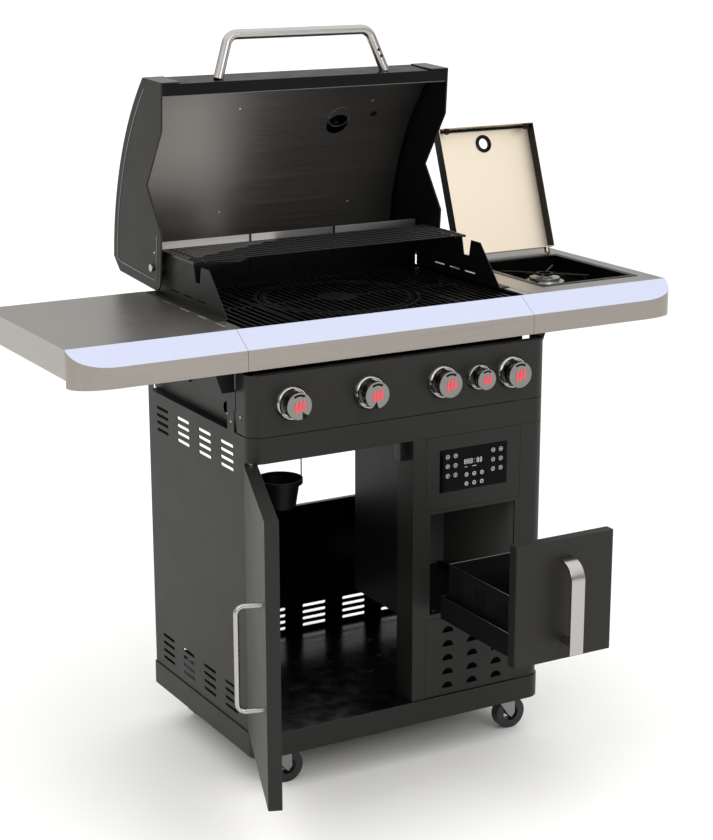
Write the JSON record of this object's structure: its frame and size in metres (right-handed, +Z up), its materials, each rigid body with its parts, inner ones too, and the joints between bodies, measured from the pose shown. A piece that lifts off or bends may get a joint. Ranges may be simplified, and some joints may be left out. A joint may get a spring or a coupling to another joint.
{
  "type": "gas barbecue grill",
  "caption": "Gas barbecue grill on a wheeled cart with opening hood, side burner, cabinet door and a built-in air-fryer drawer.",
  "frame": {"origin": "floor level, on the symmetry plane of the cart, under the middle of the overall depth as stored open", "axes": "+X to the right seen from the front, front towards -Y, +Z up"},
  "size_m": [1.4, 1.0431, 1.5042],
  "materials": {
    "charcoal": "satin powder coat",
    "hood_grey": "satin powder coat",
    "dark_pan": "satin powder coat",
    "trim_steel": "brushed",
    "liner_steel": "satin",
    "table_steel": "satin",
    "handle_steel": "satin",
    "lid_steel": "satin",
    "chrome": "polished",
    "enamel_black": "gloss enamel",
    "cast_black": "enamelled, semi-gloss",
    "black_plastic": "matte",
    "knob_face": "silver face, black grip",
    "touch_glass": "gloss black",
    "inner_steel": "dull",
    "brass": "plain",
    "caster_grey": "satin",
    "caster_black": "matte",
    "burner_alloy": "cast"
  },
  "bodies": {
    "cart": {"base_pan": "charcoal", "side_panel_left": "charcoal", "side_panel_right": "charcoal", "back_panel": "charcoal", "front_rail": "charcoal", "fryer_frame": "charcoal", "fryer_fascia": "charcoal", "touch_glass": "touch_glass", "fryer_vent_panel": "charcoal", "fryer_housing": "inner_steel", "fryer_heater": "inner_steel", "drawer_rails": "inner_steel", "firebox_shell": "enamel_black", "grate_ledges": "enamel_black", "tray_rails": "dark_pan", "firebox_cheeks": "hood_grey", "control_panel": "charcoal", "knob_bezels": "chrome", "gas_manifold": "brass", "main_burners": "inner_steel", "flame_tamers": "enamel_black", "side_grates": "cast_black", "ring_grate": "cast_black", "warming_rack": "enamel_black", "left_table": "table_steel", "right_table": "table_steel", "front_trim": "trim_steel", "side_burner_bowl": "enamel_black", "side_burner": "burner_alloy", "side_burner_trivet": "enamel_black", "hinge_pins": "handle_steel", "door_catch": "black_plastic", "table_brackets": "dark_pan"},
    "hood": {"hood_end_caps": "hood_grey", "hood_shell": "enamel_black", "hood_liner": "liner_steel", "hood_handle": "handle_steel", "thermometer": "inner_steel"},
    "door": {"door_panel": "charcoal", "door_handle": "handle_steel"},
    "drawer": {"drawer_front": "charcoal", "drawer_tray": "inner_steel", "drawer_handle": "handle_steel"},
    "basket": {"fryer_basket": "inner_steel"},
    "fan": {"fryer_fan": "inner_steel"},
    "insert": {"grate_insert": "cast_black"},
    "lid": {"side_lid": "lid_steel"},
    "drip_tray": {"grease_tray": "dark_pan"},
    "cup": {"grease_cup": "dark_pan"},
    "knob_1_body": {"knob_1": "knob_face"},
    "knob_2_body": {"knob_2": "knob_face"},
    "knob_3_body": {"knob_3": "knob_face"},
    "knob_4_body": {"knob_4": "knob_face"},
    "knob_5_body": {"knob_5": "knob_face"},
    "fork_front_left": {"caster_fork_front_left": "caster_grey"},
    "wheel_front_left": {"caster_wheel_front_left": "caster_black"},
    "fork_front_right": {"caster_fork_front_right": "caster_grey"},
    "wheel_front_right": {"caster_wheel_front_right": "caster_black"},
    "fork_rear_left": {"caster_fork_rear_left": "caster_grey"},
    "wheel_rear_left": {"caster_wheel_rear_left": "caster_black"},
    "fork_rear_right": {"caster_fork_rear_right": "caster_grey"},
    "wheel_rear_right": {"caster_wheel_rear_right": "caster_black"}
  },
  "joints": [
    {"name": "hood_hinge", "type": "hinge", "parent": "cart", "child": "hood", "pos_m": [0, 0.315, 1.021], "axis": [1, 0, 0], "range_deg": [0, 85.9]},
    {"name": "door_hinge", "type": "hinge", "parent": "cart", "child": "door", "pos_m": [-0.343, -0.13, 0.42], "axis": [0, 0, 1], "range_deg": [0, 111]},
    {"name": "side_lid_hinge", "type": "hinge", "parent": "cart", "child": "lid", "pos_m": [0.537, 0.291, 0.973], "axis": [1, 0, 0], "range_deg": [0, 110]},
    {"name": "drawer_slide", "type": "slide", "parent": "cart", "child": "drawer", "axis": [0, 1, 0], "range_m": [0, 0.305]},
    {"name": "basket_lift", "type": "slide", "parent": "drawer", "child": "basket", "axis": [0, 0, 1], "range_m": [0, 0.06]},
    {"name": "fan_spin", "type": "hinge", "parent": "cart", "child": "fan", "pos_m": [0.167, 0.011, 0.522], "axis": [0, 0, 1], "continuous": true},
    {"name": "grate_insert_lift", "type": "slide", "parent": "cart", "child": "insert", "axis": [0, 0, 1], "range_m": [0, 0.09]},
    {"name": "grease_tray_slide", "type": "slide", "parent": "cart", "child": "drip_tray", "axis": [0, 1, 0], "range_m": [0, 0.3]},
    {"name": "grease_cup_lift", "type": "slide", "parent": "drip_tray", "child": "cup", "axis": [0, 0, 1], "range_m": [0, 0.012]},
    {"name": "knob_1_turn", "type": "hinge", "parent": "cart", "child": "knob_1_body", "pos_m": [-0.26, -0.171, 0.821], "axis": [0, -1, 0], "range_deg": [0, 230]},
    {"name": "knob_2_turn", "type": "hinge", "parent": "cart", "child": "knob_2_body", "pos_m": [-0.085, -0.171, 0.821], "axis": [0, -1, 0], "range_deg": [0, 230]},
    {"name": "knob_3_turn", "type": "hinge", "parent": "cart", "child": "knob_3_body", "pos_m": [0.087, -0.171, 0.821], "axis": [0, -1, 0], "range_deg": [0, 230]},
    {"name": "knob_4_turn", "type": "hinge", "parent": "cart", "child": "knob_4_body", "pos_m": [0.174, -0.171, 0.821], "axis": [0, -1, 0], "range_deg": [0, 230]},
    {"name": "knob_5_turn", "type": "hinge", "parent": "cart", "child": "knob_5_body", "pos_m": [0.256, -0.171, 0.821], "axis": [0, -1, 0], "range_deg": [0, 230]},
    {"name": "caster_front_left_swivel", "type": "hinge", "parent": "cart", "child": "fork_front_left", "pos_m": [-0.278, -0.099, 0.1], "axis": [0, 0, 1], "continuous": true},
    {"name": "caster_front_left_roll", "type": "hinge", "parent": "fork_front_left", "child": "wheel_front_left", "pos_m": [-0.26, -0.099, 0.036], "axis": [0, 1, 0], "continuous": true},
    {"name": "caster_front_right_swivel", "type": "hinge", "parent": "cart", "child": "fork_front_right", "pos_m": [0.278, -0.099, 0.1], "axis": [0, 0, 1], "continuous": true},
    {"name": "caster_front_right_roll", "type": "hinge", "parent": "fork_front_right", "child": "wheel_front_right", "pos_m": [0.296, -0.099, 0.036], "axis": [0, 1, 0], "continuous": true},
    {"name": "caster_rear_left_swivel", "type": "hinge", "parent": "cart", "child": "fork_rear_left", "pos_m": [-0.278, 0.301, 0.1], "axis": [0, 0, 1], "continuous": true},
    {"name": "caster_rear_left_roll", "type": "hinge", "parent": "fork_rear_left", "child": "wheel_rear_left", "pos_m": [-0.26, 0.301, 0.036], "axis": [0, 1, 0], "continuous": true},
    {"name": "caster_rear_right_swivel", "type": "hinge", "parent": "cart", "child": "fork_rear_right", "pos_m": [0.278, 0.301, 0.1], "axis": [0, 0, 1], "continuous": true},
    {"name": "caster_rear_right_roll", "type": "hinge", "parent": "fork_rear_right", "child": "wheel_rear_right", "pos_m": [0.296, 0.301, 0.036], "axis": [0, 1, 0], "continuous": true}
  ]
}
